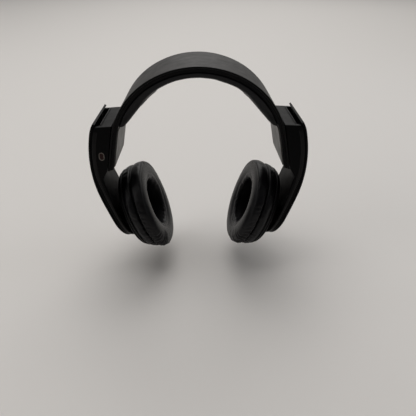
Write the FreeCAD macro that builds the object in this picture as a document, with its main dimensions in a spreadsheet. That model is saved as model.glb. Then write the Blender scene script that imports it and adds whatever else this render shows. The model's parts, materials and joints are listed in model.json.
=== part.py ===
import FreeCAD, Part
import Sketcher
import math
import os

# Over-ear gaming headset, in millimetres. X runs from the wearer's right ear (-X) to the left
# ear (+X), -Y is the way the wearer faces, and +Z is up. The origin is the middle of the
# headband cushion's underside, where the crown of the head touches it.
# Every piece of the left side (+X) is drawn, and the right side is its mirror image.

Vector = FreeCAD.Vector
Rotation = FreeCAD.Rotation
Placement = FreeCAD.Placement

DIMENSIONS = (
    ("band_top", 12.0, "crown of the headband above the head rest"),
    ("band_depth", 66.8, "headband, front to back"),
    ("crown_radius", 90.0, "outer radius of the arch's crown"),
    ("side_radius", 79.6, "outer radius of the arch's sides"),
    ("crown_heading", 60.0, "slope where the crown arc ends, from the vertical"),
    ("slide_heading", 12.0, "slope of the straight tongues, from the vertical"),
    ("tongue_length", 34.8, "straight end of the band that each arm slides on"),
    ("tongue_taper", 1.6, "chamfer at the tongue's end"),
    ("plate_wall", 0.8, "grey plate on each tongue's inner face"),
    ("plate_depth", 57.0, "that plate, front to back"),
    ("shell_wall", 2.0, "headband shell"),
    ("frame_wall", 3.0, "headband frame"),
    ("frame_depth", 63.6, "headband frame, front to back"),
    ("pad_depth", 61.6, "headband cushion, front to back"),
    ("pad_end_heading", 19.0, "slope of the arch where the cushion ends"),
    ("fit_gap", 0.1, "gap between pieces that are fastened together"),
    ("slide_gap", 0.35, "gap between the tongue and the arm"),
    ("spring_wall", 0.8, "steel strip in the band"),
    ("spring_width", 24.0, "steel strip in the band, front to back"),
    ("cable_width", 10.0, "ribbon cable in the band"),
    ("cable_shift", 21.0, "ribbon cable's centre behind the middle of the band"),
    ("cover_top", -39.3, "height of the arm cover's top edge"),
    ("cover_start", 98.8, "arm cover's top edge from the middle plane"),
    ("cover_wall", 2.0, "arm cover"),
    ("cover_round", 0.7, "rounded edges of the arm cover"),
    ("arm_round", 1.1, "rounded edges of the arm housing"),
    ("arm_top_depth", 60.6, "arm at its top, front to back"),
    ("arm_bottom", -175.5, "lowest point of the arm"),
    ("arm_front_lean", 5.9, "lean of the arm's front edge, from the vertical"),
    ("arm_back_lean", -3.0, "lean of the arm's back edge, from the vertical"),
    ("arm_corner", 26.0, "radius of the foot's two corners, seen from the side"),
    ("arm_corner_turn", 60.0, "slope where each corner meets the foot's middle arc"),
    ("arm_top", -42.0, "height of the arm housing's top face"),
    ("arm_wall", 2.2, "arm housing"),
    ("arm_side_wall", 2.5, "arm housing's front and back walls"),
    ("arm_floor", 1.5, "plate behind the ear cup"),
    ("arm_rim", 3.5, "rim round that plate"),
    ("pocket_gap", 4.4, "open slot between the cover's top edge and the housing"),
    ("pocket_depth", 52.0, "open slot, front to back"),
    ("cup_lean", 20.0, "lean of the ear cups: their lower edges are closer together"),
    ("cup_x", 72.6, "ear cup's mounting plane from the middle plane"),
    ("cup_height", -150.5, "height of the ear cup's centre"),
    ("cup_radius", 43.5, "ear cup housing"),
    ("cup_wall", 1.4, "ear cup housing"),
    ("cup_back", 2.9, "ear cup housing behind its mounting plane"),
    ("cup_front", -2.0, "ear cup housing before its mounting plane"),
    ("baffle_radius", 41.8, "speaker baffle"),
    ("grille_front", -9.0, "front of the raised speaker grille"),
    ("ring_radius", 43.0, "ear pad's mounting ring"),
    ("ring_front", -3.6, "front of the mounting ring"),
    ("pad_radius", 47.5, "ear pad at its widest"),
    ("pad_back_radius", 44.0, "ear pad at its back edge"),
    ("pad_face_radius", 46.0, "ear pad at its face"),
    ("pad_hole", 25.0, "opening for the ear"),
    ("pad_back", -3.7, "ear pad's back"),
    ("pad_face", -28.5, "ear pad's face"),
    ("pivot_shift", 6.6, "cup pivot behind the mounting plane"),
    ("pin_radius", 1.2, "swivel and tilt pins"),
    ("pin_gap", 0.05, "running clearance round the pins"),
    ("screw_radius", 0.9, "small screws"),
    ("screw_head", 1.9, "small screws' heads"),
    ("rail_wall", 1.5, "steel rail inside the arm"),
    ("rail_width", 20.0, "steel rail, front to back"),
    ("rail_web", 6.0, "web that joins the rail to the tongue"),
    ("adjust_travel", 18.0, "travel of each arm on its tongue"),
    ("jack_bore", 1.8, "audio socket's bore radius"),
    ("jack_radius", 3.2, "audio socket's barrel"),
    ("jack_length", 14.0, "audio socket's depth"),
)

doc = FreeCAD.newDocument("Headset")
sheet = doc.addObject("Spreadsheet::Sheet", "Sizes")
for row, (alias, value, note) in enumerate(DIMENSIONS, start=1):
    sheet.set(f"A{row}", note)
    sheet.set(f"B{row}", str(value))
    sheet.setAlias(f"B{row}", alias)
doc.recompute()

# The arm cover's curve in front view: headings from the vertical, and the radius that leads
# to each of them.
COVER_START_HEADING = 34.0
COVER_ARCS = ((30.0, 14.0), (120.0, -19.0), (500.0, -26.2))
# The housing's inner edge behind the ear cup, in the same form, after a straight run.
RIM_START = Vector(96.0, -94.5, 0)
RIM_HEADING = -14.5
RIM_RUN = 26.0
RIM_ARC = (280.0, -22.8)
RIM_END_RUN = 26.0
# The headband cushion's underside, from the middle outwards.
CUSHION_ARCS = ((70.0, 44.0), (300.0, 40.0))
CUSHION_END_RUN = 8.5
WIDE = 200.0


def size(alias):
    return float(getattr(sheet, alias))


# ---- Flat outlines -----------------------------------------------------------------------
# A path is a list of steps. Two points are a line and three are an arc. A heading is the
# angle from straight down, positive away from the middle plane.

def along(heading):
    angle = math.radians(heading)
    return Vector(math.sin(angle), -math.cos(angle), 0)


def inward(heading):
    angle = math.radians(heading)
    return Vector(-math.cos(angle), -math.sin(angle), 0)


def line_step(length):
    return ("line", length, None)


def arc_step(radius, heading):
    return ("arc", radius, heading)


def trace(start, heading, steps, offset=0.0):
    point = start + inward(heading) * offset
    path = []
    for kind, amount, new_heading in steps:
        if kind == "line":
            end = point + along(heading) * amount
            path.append((point, end))
        else:
            radius = amount - offset
            centre = point + inward(heading) * radius
            middle = centre - inward((heading + new_heading) / 2) * radius
            end = centre - inward(new_heading) * radius
            path.append((point, middle, end))
            heading = new_heading
        point = end
    return path


def reverse(path):
    return [tuple(reversed(step)) for step in reversed(path)]


def mirror(path):
    return [tuple(Vector(-point.x, point.y, 0) for point in step) for step in path]


def loop(*paths):
    closed = []
    for path in paths:
        if closed and (closed[-1][-1] - path[0][0]).Length > 1e-6:
            closed.append((closed[-1][-1], path[0][0]))
        closed.extend(path)
    if (closed[-1][-1] - closed[0][0]).Length > 1e-6:
        closed.append((closed[-1][-1], closed[0][0]))
    return closed


def corners(*points):
    places = [Vector(x, y, 0) for x, y in points]
    return [(places[i], places[i + 1]) for i in range(len(places) - 1)]


def stadium_steps(x, y, width, height):
    half = width / 2
    reach = height / 2 - half
    upper_right = Vector(x + half, y + reach, 0)
    upper_left = Vector(x - half, y + reach, 0)
    lower_left = Vector(x - half, y - reach, 0)
    lower_right = Vector(x + half, y - reach, 0)
    return [
        (upper_right, Vector(x, y + height / 2, 0), upper_left),
        (upper_left, lower_left),
        (lower_left, Vector(x, y - height / 2, 0), lower_right),
        (lower_right, upper_right),
    ]


# ---- Document objects --------------------------------------------------------------------

FRONT = Placement(Vector(0, 0, 0), Rotation(Vector(1, 0, 0), 90))
SIDE = Placement(Vector(0, 0, 0), Rotation(0.5, 0.5, 0.5, 0.5))


def add_steps(sketch, steps):
    for step in steps:
        if len(step) == 2:
            sketch.addGeometry(Part.LineSegment(*step), False)
        else:
            sketch.addGeometry(Part.Arc(*step), False)


def extrude(name, placement, steps, length):
    sketch = doc.addObject("Sketcher::SketchObject", name + "_sketch")
    sketch.Placement = placement
    add_steps(sketch, steps)
    solid = doc.addObject("Part::Extrusion", name)
    solid.Base = sketch
    solid.DirMode = "Custom"
    solid.Dir = placement.Rotation.multVec(Vector(0, 0, 1))
    solid.Solid = True
    solid.Symmetric = True
    solid.setExpression("LengthFwd", length)
    return solid


def raised(name, placement, steps, low, high):
    # A prism from height low to height high over the placement's own plane.
    lift = placement.multiply(Placement(Vector(0, 0, (low + high) / 2), Rotation()))
    return extrude(name, lift, steps, f"{high - low}")


def boolean(kind, name, base, tool):
    result = doc.addObject("Part::" + kind, name)
    result.Base = base
    result.Tool = tool
    return result


def cut(name, base, *tools):
    for number, tool in enumerate(tools, start=1):
        base = boolean("Cut", name if number == len(tools) else f"{name}_cut{number}", base, tool)
    return base


def fuse(name, base, *tools):
    result = doc.addObject("Part::MultiFuse", name)
    result.Shapes = [base] + list(tools)
    return result


def common(name, base, tool):
    return boolean("Common", name, base, tool)


def box(name, placement, low, high):
    solid = doc.addObject("Part::Box", name)
    solid.Length = high[0] - low[0]
    solid.Width = high[1] - low[1]
    solid.Height = high[2] - low[2]
    solid.Placement = placement.multiply(Placement(Vector(*low), Rotation()))
    return solid


def cylinder(name, placement, base, direction, radius, length):
    solid = doc.addObject("Part::Cylinder", name)
    solid.setExpression("Radius", radius)
    solid.setExpression("Height", length)
    turn = Rotation(Vector(0, 0, 1), Vector(*direction))
    solid.Placement = placement.multiply(Placement(Vector(*base), turn))
    return solid


def mirrored(name, source):
    solid = doc.addObject("Part::Mirroring", name)
    solid.Source = source
    solid.Normal = Vector(1, 0, 0)
    return solid


def rounded(name, base, radius, wanted):
    doc.recompute()
    picked = [i for i, edge in enumerate(base.Shape.Edges, start=1) if wanted(edge)]
    fillet = doc.addObject("Part::Fillet", name)
    fillet.Base = base
    fillet.Edges = [(i, radius, radius) for i in picked]
    return fillet


nodes = {}


def node(label, piece):
    piece.Label = label
    nodes[label] = piece
    return piece


# ---- Turned pieces, as PartDesign bodies ---------------------------------------------------
# A corner's coordinate is a number, or a sheet alias and what is added to it.

def coordinate(value):
    if isinstance(value, tuple):
        return size(value[0]) + value[1]
    return value


def bind(sketch, kind, index, value):
    rule = Sketcher.Constraint(kind, -1, 1, index, 1, coordinate(value))
    number = sketch.addConstraint(rule)
    if isinstance(value, tuple):
        sketch.setExpression(f"Constraints[{number}]", f"Sizes.{value[0]} + {value[1]}")


def origin_plane(body, role):
    return [item for item in body.Origin.OriginFeatures if item.Role == role][0]


def body_sketch(body, name, role, outline):
    sketch = body.newObject("Sketcher::SketchObject", name)
    sketch.AttachmentSupport = (origin_plane(body, role), "")
    sketch.MapMode = "FlatFace"
    places = [Vector(coordinate(x), coordinate(y), 0) for x, y in outline]
    count = len(places)
    for i in range(count):
        sketch.addGeometry(Part.LineSegment(places[i], places[(i + 1) % count]), False)
    for i in range(count):
        sketch.addConstraint(Sketcher.Constraint("Coincident", i, 2, (i + 1) % count, 1))
    for i, (x, y) in enumerate(outline):
        bind(sketch, "DistanceX", i, x)
        bind(sketch, "DistanceY", i, y)
    return sketch


def turned(name, outline):
    body = doc.addObject("PartDesign::Body", name)
    sketch = body_sketch(body, name + "_profile", "XZ_Plane", outline)
    turn = body.newObject("PartDesign::Revolution", name + "_turn")
    turn.Profile = sketch
    turn.ReferenceAxis = (sketch, ["V_Axis"])
    turn.Angle = 360
    body.Tip = turn
    return body


def ring_of_holes(body, name, distance, radius, low, high, count):
    doc.recompute()
    before = body.Shape.Volume
    sketch = body.newObject("Sketcher::SketchObject", name + "_sketch")
    sketch.AttachmentSupport = (origin_plane(body, "XY_Plane"), "")
    sketch.MapMode = "FlatFace"
    sketch.AttachmentOffset = Placement(Vector(0, 0, high), Rotation())
    circle = sketch.addGeometry(Part.Circle(Vector(distance, 0, 0), Vector(0, 0, 1), radius), False)
    sketch.addConstraint(Sketcher.Constraint("Radius", circle, radius))
    sketch.addConstraint(Sketcher.Constraint("DistanceX", -1, 1, circle, 3, distance))
    pocket = body.newObject("PartDesign::Pocket", name)
    pocket.Profile = sketch
    pocket.Length = high - low
    pattern = body.newObject("PartDesign::PolarPattern", name + "_ring")
    pattern.Originals = [pocket]
    pattern.Axis = (sketch, ["N_Axis"])
    pattern.Angle = 360
    pattern.Occurrences = count
    body.Tip = pattern
    doc.recompute()
    if body.Shape.Volume > before - 1e-3:
        raise RuntimeError(f"{name} cut nothing")
    return body


def fillet_body(body, name, radius, wanted):
    doc.recompute()
    last = body.Tip
    picked = [f"Edge{i}" for i, edge in enumerate(last.Shape.Edges, start=1) if wanted(edge)]
    fillet = body.newObject("PartDesign::Fillet", name)
    fillet.Base = (last, picked)
    fillet.Radius = radius
    body.Tip = fillet
    return body


def circle_at(radius, height):
    def wanted(edge):
        curve = edge.Curve
        if not isinstance(curve, Part.Circle):
            return False
        return abs(curve.Radius - radius) < 1e-3 and abs(curve.Center.z - height) < 1e-3
    return wanted


# ---- Headband ------------------------------------------------------------------------------

def arch(offset, tongue, last_heading=None):
    steps = [arc_step(size("crown_radius"), size("crown_heading"))]
    if last_heading is None:
        steps.append(arc_step(size("side_radius"), size("slide_heading")))
        steps.append(line_step(tongue))
    else:
        steps.append(arc_step(size("side_radius"), last_heading))
    return trace(Vector(0, size("band_top"), 0), 90.0, steps, offset)


def arch_layer(name, outer, inner, length):
    ring = loop(outer, reverse(inner), mirror(inner), reverse(mirror(outer)))
    return extrude(name, FRONT, ring, length)


TONGUE = size("tongue_length")
SHELL = size("shell_wall")
FRAME_OUT = SHELL + size("fit_gap")
FRAME_IN = FRAME_OUT + size("frame_wall")
tongue_start = arch(0.0, TONGUE)[2][0]
SLIDE = Placement(Vector(tongue_start.x, 0, tongue_start.y),
                  Rotation(Vector(0, 1, 0), -size("slide_heading")))
RAIL_SCREWS = (-17.0, -26.0)


def tongue_holes(name, radius, low, high):
    tools = []
    for side, where in (("left", SLIDE), ("right", None)):
        for number, height in enumerate(RAIL_SCREWS):
            if where is not None:
                hole = cylinder(f"{name}_{side}{number}", where, (low, 0, height), (1, 0, 0),
                                radius, f"{high - low}")
                tools.append(hole)
            else:
                tools.append(mirrored(f"{name}_{side}{number}", tools[number]))
    return tools


shell_blank = arch_layer("shell_blank", arch(0.0, TONGUE), arch(SHELL, TONGUE),
                         "Sizes.band_depth")
shell_round = rounded(
    "shell_round", shell_blank, 0.8,
    lambda edge: abs(abs(edge.CenterOfMass.y) - size("band_depth") / 2) < 1e-3
    and edge.Length > 20 and edge.BoundBox.ZMax > -30
    and math.hypot(edge.valueAt(edge.FirstParameter).x,
                   edge.valueAt(edge.FirstParameter).z + 69.0) > 78.9)
node("headband_shell", cut("headband_shell", shell_round,
                           *tongue_holes("shell_hole", "1.1", -4.0, 1.0)))

frame_blank = arch_layer("frame_blank", arch(FRAME_OUT, TONGUE),
                         arch(FRAME_IN, TONGUE - size("tongue_taper")), "Sizes.frame_depth")
SPRING_END_HEADING = 24.0
GROOVE = size("spring_wall") + 0.15
spring_groove = arch_layer("spring_groove", arch(SHELL, 0, SPRING_END_HEADING - 1),
                           arch(FRAME_OUT + GROOVE, 0, SPRING_END_HEADING - 1),
                           "Sizes.spring_width + 0.6")
cable_groove = arch_layer("cable_groove", arch(SHELL, 12.0),
                          arch(FRAME_OUT + GROOVE, 12.0), "Sizes.cable_width + 0.6")
cable_groove.Placement = Placement(Vector(0, size("cable_shift"), 0), Rotation())
head_seats = tongue_holes("head_seat", "Sizes.screw_head + 0.2", -FRAME_IN - 0.5, -FRAME_IN + 1.3)
node("headband_frame", cut("headband_frame", frame_blank, spring_groove, cable_groove,
                           *tongue_holes("frame_hole", "1.1", -7.0, 1.0), *head_seats))

PLATE_HEADING = size("pad_end_heading") - 0.6
PLATE_FOOT = 2.6
PLATE_OUT = FRAME_IN + 0.02
plate_start = arch(0.0, 0, PLATE_HEADING)[-1][-1]
plate_steps = [arc_step(size("side_radius"), size("slide_heading")), line_step(TONGUE - PLATE_FOOT)]
plate_blank = extrude("plate_blank", FRONT, loop(
    trace(plate_start, PLATE_HEADING, plate_steps, PLATE_OUT),
    reverse(trace(plate_start, PLATE_HEADING, plate_steps, PLATE_OUT + size("plate_wall")))),
    "Sizes.plate_depth")
plate_base = rounded("plate_base", plate_blank, 2.0,
                     lambda edge: abs(edge.Length - size("plate_wall")) < 1e-3
                     and edge.CenterOfMass.z < tongue_start.y - 20)
node("tongue_plate_left", plate_base)
node("tongue_plate_right", mirrored("tongue_plate_right", plate_base))

SPRING_OUT = FRAME_OUT + 0.05
SPRING_IN = SPRING_OUT + size("spring_wall")
node("headband_spring", arch_layer("headband_spring", arch(SPRING_OUT, 0, SPRING_END_HEADING),
                                   arch(SPRING_IN, 0, SPRING_END_HEADING),
                                   "Sizes.spring_width"))
ribbon = arch_layer("headband_cable", arch(SPRING_OUT, 11.5), arch(SPRING_IN, 11.5),
                    "Sizes.cable_width")
ribbon.Placement = Placement(Vector(0, size("cable_shift"), 0), Rotation())
node("headband_cable", ribbon)

cushion_steps = [arc_step(*arc) for arc in CUSHION_ARCS] + [line_step(CUSHION_END_RUN)]
cushion_under = trace(Vector(0, 0, 0), 90.0, cushion_steps)
node("headband_cushion", arch_layer("headband_cushion",
                                    arch(FRAME_IN + 0.2, 0, size("pad_end_heading")),
                                    cushion_under, "Sizes.pad_depth"))

# ---- Arms: cover and housing ----------------------------------------------------------------


def cover_curve(offset, first=COVER_START_HEADING, last=COVER_ARCS[-1][1], lead=0.0):
    start = Vector(size("cover_start"), size("cover_top"), 0)
    heading = COVER_START_HEADING
    steps = []
    begin = start
    for radius, end_heading in COVER_ARCS:
        if heading <= last:
            break
        stop = max(end_heading, last)
        if first < heading:
            skip = max(stop, first)
            begin = trace(begin, heading, [arc_step(radius, skip)])[-1][-1]
            heading = skip
        if heading > stop:
            steps.append(arc_step(radius, stop))
            heading = stop
    path = trace(begin, first, steps, offset)
    if lead:
        above = path[0][0] - along(first) * lead
        path.insert(0, (above, path[0][0]))
    return path


def cover_heading_at(height):
    # The cover's heading where its outer curve passes a height.
    low, high = COVER_ARCS[-1][1], COVER_START_HEADING - 0.01
    for _ in range(40):
        middle = (low + high) / 2
        if cover_curve(0.0, COVER_START_HEADING, middle)[-1][-1].y < height:
            low = middle
        else:
            high = middle
    return (low + high) / 2


def slide_line(offset, height):
    # A point of the plane beside the tongue, at a height, as a point of the front view.
    slope = math.radians(size("slide_heading"))
    x = tongue_start.x + offset / math.cos(slope) + (tongue_start.y - height) * math.tan(slope)
    return Vector(x, height, 0)


def edge_outline(lean, offset):
    # One edge of the arm seen from the side, from its top to the middle of the foot: a leaning
    # edge, a corner and a flatter arc. The edge's length and the last arc's radius follow from
    # the foot's height.
    half = size("arm_top_depth") / 2
    turn = size("arm_corner_turn")
    corner = size("arm_corner")
    sine, cosine = math.sin(math.radians(lean)), math.cos(math.radians(lean))
    turn_sine, turn_cosine = math.sin(math.radians(turn)), math.cos(math.radians(turn))
    flat_share = (1.0 - turn_sine) / turn_cosine
    drop = size("cover_top") - size("arm_bottom")
    fixed = corner * (sine + turn_sine) + (half - corner * (cosine - turn_cosine)) * flat_share
    straight = (drop - fixed) / (cosine + sine * flat_share)
    middle = (half + straight * sine - corner * (cosine - turn_cosine)) / turn_cosine
    steps = [line_step(straight), arc_step(corner, -turn), arc_step(middle, -90.0)]
    return trace(Vector(half, size("cover_top"), 0), lean, steps, offset)


def side_outline(offset):
    # The front edge leans forward and the back edge leans in, so the foot sits under the front.
    back = edge_outline(size("arm_back_lean"), offset)
    front = edge_outline(size("arm_front_lean"), offset)
    return back + reverse(mirror(front))


cover_strip = extrude("cover_strip", FRONT,
                      loop(cover_curve(0.0), reverse(cover_curve(size("cover_wall")))),
                      f"{WIDE}")
cover_outline = extrude("cover_outline", SIDE, loop(side_outline(0.0)), f"{2 * WIDE}")
cover_sharp = common("cover_sharp", cover_strip, cover_outline)


def middle_of(edge):
    return edge.valueAt((edge.FirstParameter + edge.LastParameter) / 2)


def spans_depth(edge):
    # True for a straight edge that runs from the front to the back.
    return abs(edge.valueAt(edge.FirstParameter).y - edge.valueAt(edge.LastParameter).y) > 30


cover_blank = rounded("cover_blank", cover_sharp, size("cover_round"),
                      lambda edge: not spans_depth(edge) or edge.BoundBox.ZMin < -175.0)

# The housing: a deep block beside the tongue, and a thin rimmed plate behind the ear cup.
BLOCK_FOOT = -86.0
HOUSING_OUT = size("cover_wall") + size("fit_gap")
POCKET_IN = size("cover_wall") + size("pocket_gap")
POCKET_END = 10.0
FLOOR = HOUSING_OUT + size("arm_floor")
TRAY_TOP = -97.0
rim_steps = [line_step(RIM_RUN), arc_step(*RIM_ARC), line_step(RIM_END_RUN)]
rim_path = trace(RIM_START, RIM_HEADING, rim_steps)
block_edge = [(slide_line(size("slide_gap"), size("arm_top")),
               slide_line(size("slide_gap"), BLOCK_FOOT))]
housing_outer = cover_curve(HOUSING_OUT, cover_heading_at(size("arm_top")))
housing_strip = extrude("housing_strip", FRONT,
                        loop(block_edge, rim_path, reverse(housing_outer)), f"{WIDE}")
housing_outline = extrude("housing_outline", SIDE, loop(side_outline(0.3)), f"{2 * WIDE}")
housing_sharp = common("housing_sharp", housing_strip, housing_outline)
# Rounded along the walls and at the top, but not at the step under the block.
housing_blank = rounded(
    "housing_blank", housing_sharp, size("arm_round"),
    lambda edge: middle_of(edge).z > size("arm_top") - 2.0
    or (not (spans_depth(edge) and edge.Curve.TypeId == "Part::GeomLine")
        and not RIM_START.y < middle_of(edge).z < BLOCK_FOOT
        and not (edge.Length < 6.0 and edge.Curve.TypeId == "Part::GeomLine")))

pocket = extrude("pocket", FRONT,
                 loop(cover_curve(size("cover_wall") - 1.0, last=POCKET_END, lead=8.0),
                      reverse(cover_curve(POCKET_IN, last=POCKET_END, lead=8.0))),
                 "Sizes.pocket_depth")

INNER_WALL = size("slide_gap") + size("arm_wall")
CAVITY_TOP = size("arm_top") - size("arm_wall")
CAVITY_FOOT = -91.5
cavity_inner = [(slide_line(INNER_WALL, BLOCK_FOOT + 1.5), slide_line(INNER_WALL, CAVITY_TOP))]
pocket_wall = cover_curve(POCKET_IN + size("arm_wall"), cover_heading_at(CAVITY_TOP), POCKET_END)
cavity_outer = cover_curve(0.5, POCKET_END - 1.5, cover_heading_at(CAVITY_FOOT))
cavity_strip = extrude("cavity_strip", FRONT,
                       loop(cavity_inner, pocket_wall, cavity_outer,
                            corners((99.0, CAVITY_FOOT), (97.0, CAVITY_FOOT))), f"{WIDE}")
cavity_outline = extrude("cavity_outline", SIDE,
                         loop(side_outline(0.3 + size("arm_side_wall"))), f"{2 * WIDE}")
cavity = common("cavity", cavity_strip, cavity_outline)

tray_floor = cover_curve(FLOOR, cover_heading_at(TRAY_TOP))
tray_strip = extrude("tray_strip", FRONT,
                     loop(tray_floor, corners((45.0, -195.0), (45.0, TRAY_TOP))), f"{WIDE}")
tray_outline = extrude("tray_outline", SIDE, loop(side_outline(0.3 + size("arm_rim"))),
                       f"{2 * WIDE}")
tray = common("tray", tray_strip, tray_outline)
# The rim is open at the back, beside the upper half of the ear cup.
rear_gap = common("rear_gap", tray_strip,
                  box("rear_gap_box", Placement(), (45.0, 6.0, -134.0), (110.0, 60.0, TRAY_TOP)))

# The rail's web runs in a slot in the housing's inner wall, over the arm's whole travel.
WEB_FOOT, WEB_TOP = -30.0, -13.5
slot = box("slot", SLIDE, (-1, -size("rail_web") / 2 - 0.4, WEB_FOOT - 0.4),
           (INNER_WALL + 0.5, size("rail_web") / 2 + 0.4, WEB_TOP + size("adjust_travel") + 0.6))

# The cup pivot's own frame: local Z points out of the ear cup's back, local X down its slope.
OUT_TURN = Rotation(Vector(0, 1, 0), 90.0 + size("cup_lean"))
CUP = Placement(Vector(size("cup_x"), 0, size("cup_height")), OUT_TURN)
PIVOT = CUP.multiply(Placement(Vector(0, 0, size("pivot_shift")), Rotation()))
window = box("window", PIVOT, (-6.6, -8.8, 1.0), (6.6, 8.8, 4.6))
LUG_NEAR, LUG_FAR, LUG_HALF = 6.9, 9.5, 2.4
lugs = [box("lug_low", PIVOT, (LUG_NEAR, -3.4, -LUG_HALF), (LUG_FAR, 3.4, 3.6)),
        box("lug_high", PIVOT, (-LUG_FAR, -3.4, -LUG_HALF), (-LUG_NEAR, 3.4, 4.4))]
lug_bore = cylinder("lug_bore", PIVOT, (-12, 0, 0), (1, 0, 0),
                    "Sizes.pin_radius + Sizes.pin_gap", "24")
housing_cut = cut("housing_cut", housing_blank, pocket, cavity, tray, rear_gap, slot, window)
housing_whole = fuse("housing_whole", housing_cut, *lugs)

COVER_SCREWS = ((-24.0, -106.0), (18.0, -106.0), (-24.0, -158.0), (12.0, -158.0))


def cover_normal_frame(height, depth):
    heading = cover_heading_at(height)
    point = cover_curve(0.0, COVER_START_HEADING, heading)[-1][-1]
    out = inward(heading) * -1.0
    where = Vector(point.x, depth, point.y)
    return Placement(where, Rotation(Vector(0, 0, 1), Vector(out.x, 0, out.y)))


def cover_screw_pieces(name, radius, head_radius):
    pieces = []
    for number, (depth, height) in enumerate(COVER_SCREWS):
        frame = cover_normal_frame(height, depth)
        shaft = cylinder(f"{name}_shaft{number}", frame, (0, 0, -FLOOR - 0.4), (0, 0, 1), radius,
                         f"{FLOOR - 0.6}")
        pieces.append(shaft)
        if head_radius:
            head = cylinder(f"{name}_head{number}", frame, (0, 0, -FLOOR - 1.3), (0, 0, 1),
                            head_radius, "1.25")
            pieces.append(head)
    return pieces


housing_base = cut("housing_base", housing_whole, lug_bore,
                   *cover_screw_pieces("housing_screw", "1.0", None))
cover_holes = cover_screw_pieces("cover_screw", "Sizes.screw_radius", None)
cover_base = cut("cover_base", cover_blank, *cover_holes)
screws_base = fuse("screws_base", *cover_screw_pieces("arm_screw", "Sizes.screw_radius",
                                                      "Sizes.screw_head"))

# ---- Controls and sockets in the arms' walls ------------------------------------------------
# A wall frame lies on the outer face of an arm's front or back wall: local Z is the outward
# normal, local Y runs up the wall.


def wall_frame(x, height, back):
    lean = math.radians(size("arm_back_lean") if back else size("arm_front_lean"))
    sign = 1.0 if back else -1.0
    half = size("arm_top_depth") / 2 + (size("cover_top") - height) * math.tan(lean)
    depth = half - 0.3 / math.cos(lean)
    normal = Vector(0, sign * math.cos(lean), math.sin(lean))
    up = Vector(0, -sign * math.sin(lean), math.cos(lean))
    return Placement(Vector(x, sign * depth, height), Rotation(up.cross(normal), up, normal, "ZYX"))


WALL = size("arm_side_wall")
power_at = wall_frame(90.6, -57.0, True)
volume_at = wall_frame(96.0, -72.0, True)
jack_at = wall_frame(98.8, -85.6, True)
mute_at = wall_frame(-91.3, -57.5, True)
light_at = wall_frame(-92.4, -66.5, True)
charge_at = wall_frame(-97.3, -80.0, True)
mic_at = wall_frame(-94.1, -71.0, False)

power_slot = box("power_slot", power_at, (-1.7, -5.0, -WALL - 1), (1.7, 5.0, 1))
power_slider = fuse(
    "power_slider",
    box("power_cap", power_at, (-2.3, -0.9, 0.15), (2.3, 4.9, 1.5)),
    box("power_neck", power_at, (-1.4, -0.4, -WALL - 0.3), (1.4, 4.4, 0.2)),
    box("power_keep", power_at, (-2.6, -1.4, -WALL - 1.4), (2.6, 5.4, -WALL - 0.2)))
node("power_slider", power_slider)

PIVOT_DROP = 3.7
volume_slot = raised("volume_slot", volume_at, stadium_steps(0, 0, 5.0, 17.2), -WALL - 1, 1)
volume_lugs = [box("volume_lug1", volume_at, (2.8, -2.2, -5.5), (4.3, 2.2, -WALL + 0.2)),
               box("volume_lug2", volume_at, (-4.3, -2.2, -5.5), (-2.8, 2.2, -WALL + 0.2))]
volume_bore = cylinder("volume_bore", volume_at, (-6, 0, -PIVOT_DROP), (1, 0, 0), "0.85", "12")
node("volume_rocker", fuse(
    "volume_rocker",
    raised("volume_cap", volume_at, stadium_steps(0, 0, 4.4, 16.0), -2.2, 1.3),
    box("volume_web", volume_at, (-1.6, -2.2, -5.3), (1.6, 2.2, -2.1)),
    cylinder("volume_pin", volume_at, (-4.4, 0, -PIVOT_DROP), (1, 0, 0), "0.8", "8.8")))

jack_hole = cylinder("jack_hole", jack_at, (0, 0, -WALL - 1), (0, 0, 1),
                     "Sizes.jack_radius + 0.05", f"{WALL + 2}")
jack_barrel = cylinder("jack_barrel", jack_at, (0, 0, -size("jack_length") - 0.8), (0, 0, 1),
                       "Sizes.jack_radius", "Sizes.jack_length + 1.0")
jack_bore = cylinder("jack_bore_tool", jack_at, (0, 0, -size("jack_length")), (0, 0, 1),
                     "Sizes.jack_bore", "Sizes.jack_length + 2.0")
node("audio_jack", cut("audio_jack", jack_barrel, jack_bore))

mute_hole = cylinder("mute_hole", mute_at, (0, 0, -WALL - 1), (0, 0, 1), "3.45", f"{WALL + 2}")
node("mute_button", fuse(
    "mute_button",
    cylinder("mute_cap", mute_at, (0, 0, -WALL - 0.2), (0, 0, 1), "3.2", f"{WALL + 1.6}"),
    cylinder("mute_keep", mute_at, (0, 0, -WALL - 1.2), (0, 0, 1), "4.0", "1.1")))
light_hole = cylinder("light_hole", light_at, (0, 0, -WALL - 1), (0, 0, 1), "1.05", f"{WALL + 2}")
node("status_light", cylinder("status_light", light_at, (0, 0, -WALL - 0.6), (0, 0, 1), "1.0",
                              f"{WALL + 0.7}"))
charge_hole = raised("charge_hole", charge_at, corners(
    (-4.35, -1.75), (4.35, -1.75), (4.35, 1.75), (-4.35, 1.75), (-4.35, -1.75)), -WALL - 1, 1)
charge_shell = box("charge_shell", charge_at, (-4.25, -1.65, -6.2), (4.25, 1.65, -0.1))
charge_mouth = box("charge_mouth", charge_at, (-3.8, -1.2, -5.6), (3.8, 1.2, 1))
charge_tongue = box("charge_tongue", charge_at, (-2.8, -0.3, -5.7), (2.8, 0.5, -1.0))
charge_can = cut("charge_can", charge_shell, charge_mouth)
node("charge_port", fuse("charge_port", charge_can, charge_tongue))

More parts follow.
